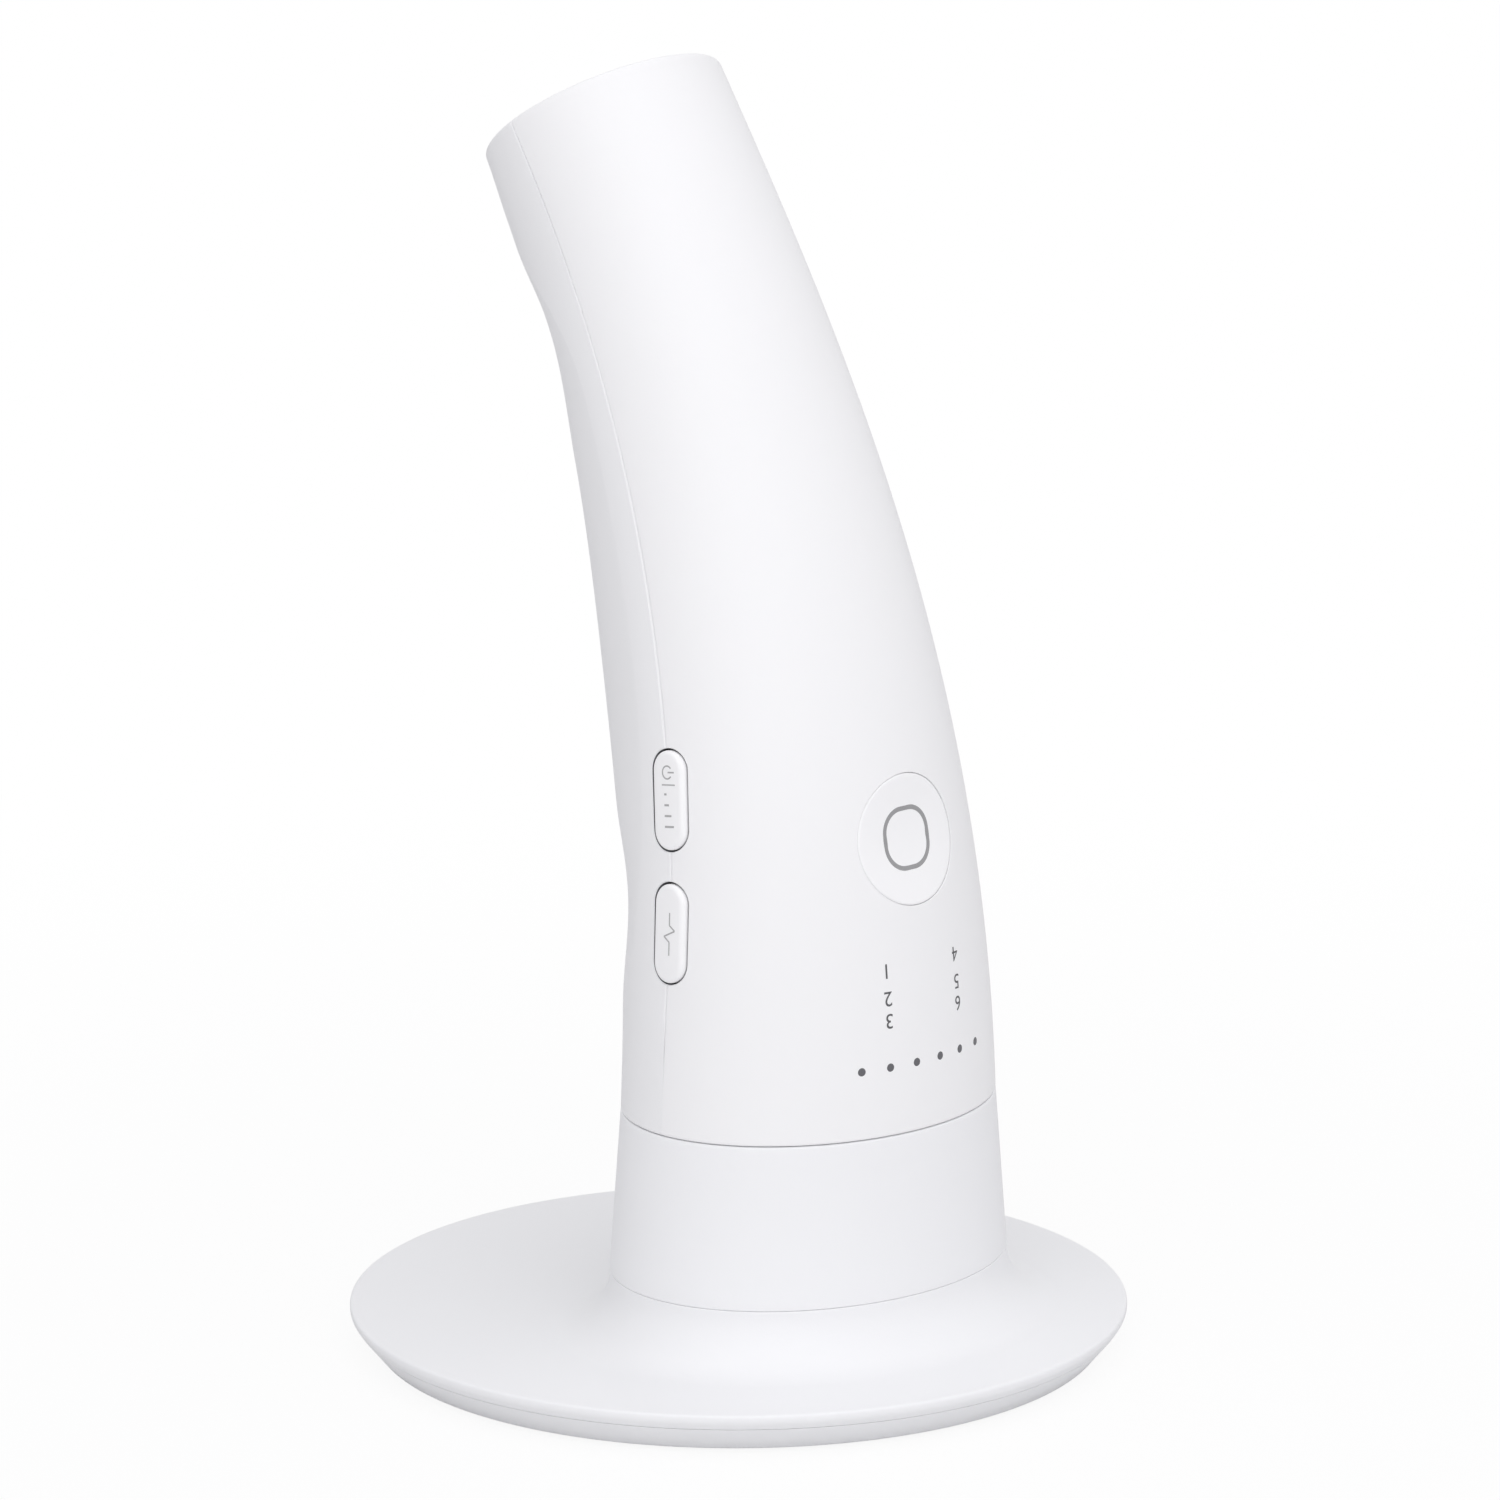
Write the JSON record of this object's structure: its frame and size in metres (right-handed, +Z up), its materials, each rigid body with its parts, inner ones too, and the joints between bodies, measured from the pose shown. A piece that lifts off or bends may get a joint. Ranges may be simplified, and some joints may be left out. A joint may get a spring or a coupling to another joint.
{
  "type": "light-based epilator",
  "caption": "Light-based epilator handset standing head-down in a round weighted stand, with a removable head cap, a round flash button, side buttons and a cooling fan.",
  "frame": {"origin": "on the table under the middle of the round stand", "axes": "+Z up; the handset's front, with its round button, faces -Y and it leans back towards +Y; its two side buttons are on the -X side"},
  "size_m": [0.12, 0.12, 0.1976],
  "materials": {
    "stand_plastic": "smooth white moulding with a cool tint",
    "body_plastic": "smooth white moulding",
    "mark_grey": "mid-grey moulding",
    "liner": "soft dark grey",
    "rubber": "dark matt rubber",
    "steel": "plain zinc-plated steel",
    "chrome": "polished plate",
    "aluminium": "bright aluminium",
    "clear": "clear",
    "amber_glass": "clear with an amber tint",
    "board": "green circuit board",
    "black_plastic": "black moulding",
    "capacitor_sleeve": "dark blue sleeve"
  },
  "bodies": {
    "stand": {"base_shell": "stand_plastic", "bottom_cover": "stand_plastic", "weight_plate": "steel", "rubber_feet": "rubber", "stand_screws": "steel", "socket_liner": "liner"},
    "cap": {"head_cap": "stand_plastic", "cap_lens": "clear", "ems_electrodes": "chrome", "skin_sensors": "black_plastic", "cap_magnets": "steel"},
    "handset": {"front_shell": "body_plastic", "rear_shell": "body_plastic", "tail_cap": "body_plastic", "lamp_housing": "body_plastic", "magnet_plates": "steel", "filter_glass": "amber_glass", "reflector": "aluminium", "flash_lamp": "clear", "lamp_holders": "rubber", "heat_sink": "aluminium", "fan_frame": "black_plastic", "fan_screws": "steel", "head_screws": "steel", "chassis": "mark_grey", "chassis_screws": "steel", "main_board": "board", "capacitor": "capacitor_sleeve", "transformer": "black_plastic", "led_board": "board", "light_guide": "clear", "flash_board": "board", "flash_switch": "black_plastic", "side_board": "board", "power_switch": "black_plastic", "ems_switch": "black_plastic", "dc_jack": "black_plastic"},
    "flash_key": {"flash_button": "body_plastic", "button_ring": "mark_grey"},
    "power_key": {"power_button": "body_plastic"},
    "ems_key": {"ems_button": "body_plastic"},
    "fan": {"fan_rotor": "black_plastic"}
  },
  "joints": [
    {"name": "lift_off_stand", "type": "slide", "parent": "stand", "child": "cap", "axis": [0, 0, 1], "range_m": [0, 0.03]},
    {"name": "pull_off_cap", "type": "slide", "parent": "cap", "child": "handset", "axis": [0, 0, 1], "range_m": [0, 0.04]},
    {"name": "flash_press", "type": "slide", "parent": "handset", "child": "flash_key", "axis": [0, 0.9842, -0.1771], "range_m": [0, 0.0006], "stiffness_N_per_m": 2500, "springref_m": -0.0002},
    {"name": "power_press", "type": "slide", "parent": "handset", "child": "power_key", "axis": [0.9904, 0.0819, -0.1113], "range_m": [0, 0.0004], "stiffness_N_per_m": 3000, "springref_m": -0.0002},
    {"name": "ems_press", "type": "slide", "parent": "handset", "child": "ems_key", "axis": [0.9949, 0.0454, -0.0898], "range_m": [0, 0.0004], "stiffness_N_per_m": 3000, "springref_m": -0.0002},
    {"name": "fan_spin", "type": "hinge", "parent": "handset", "child": "fan", "pos_m": [0, -0.0153, 0.0511], "axis": [0, 0, 1], "continuous": true}
  ]
}
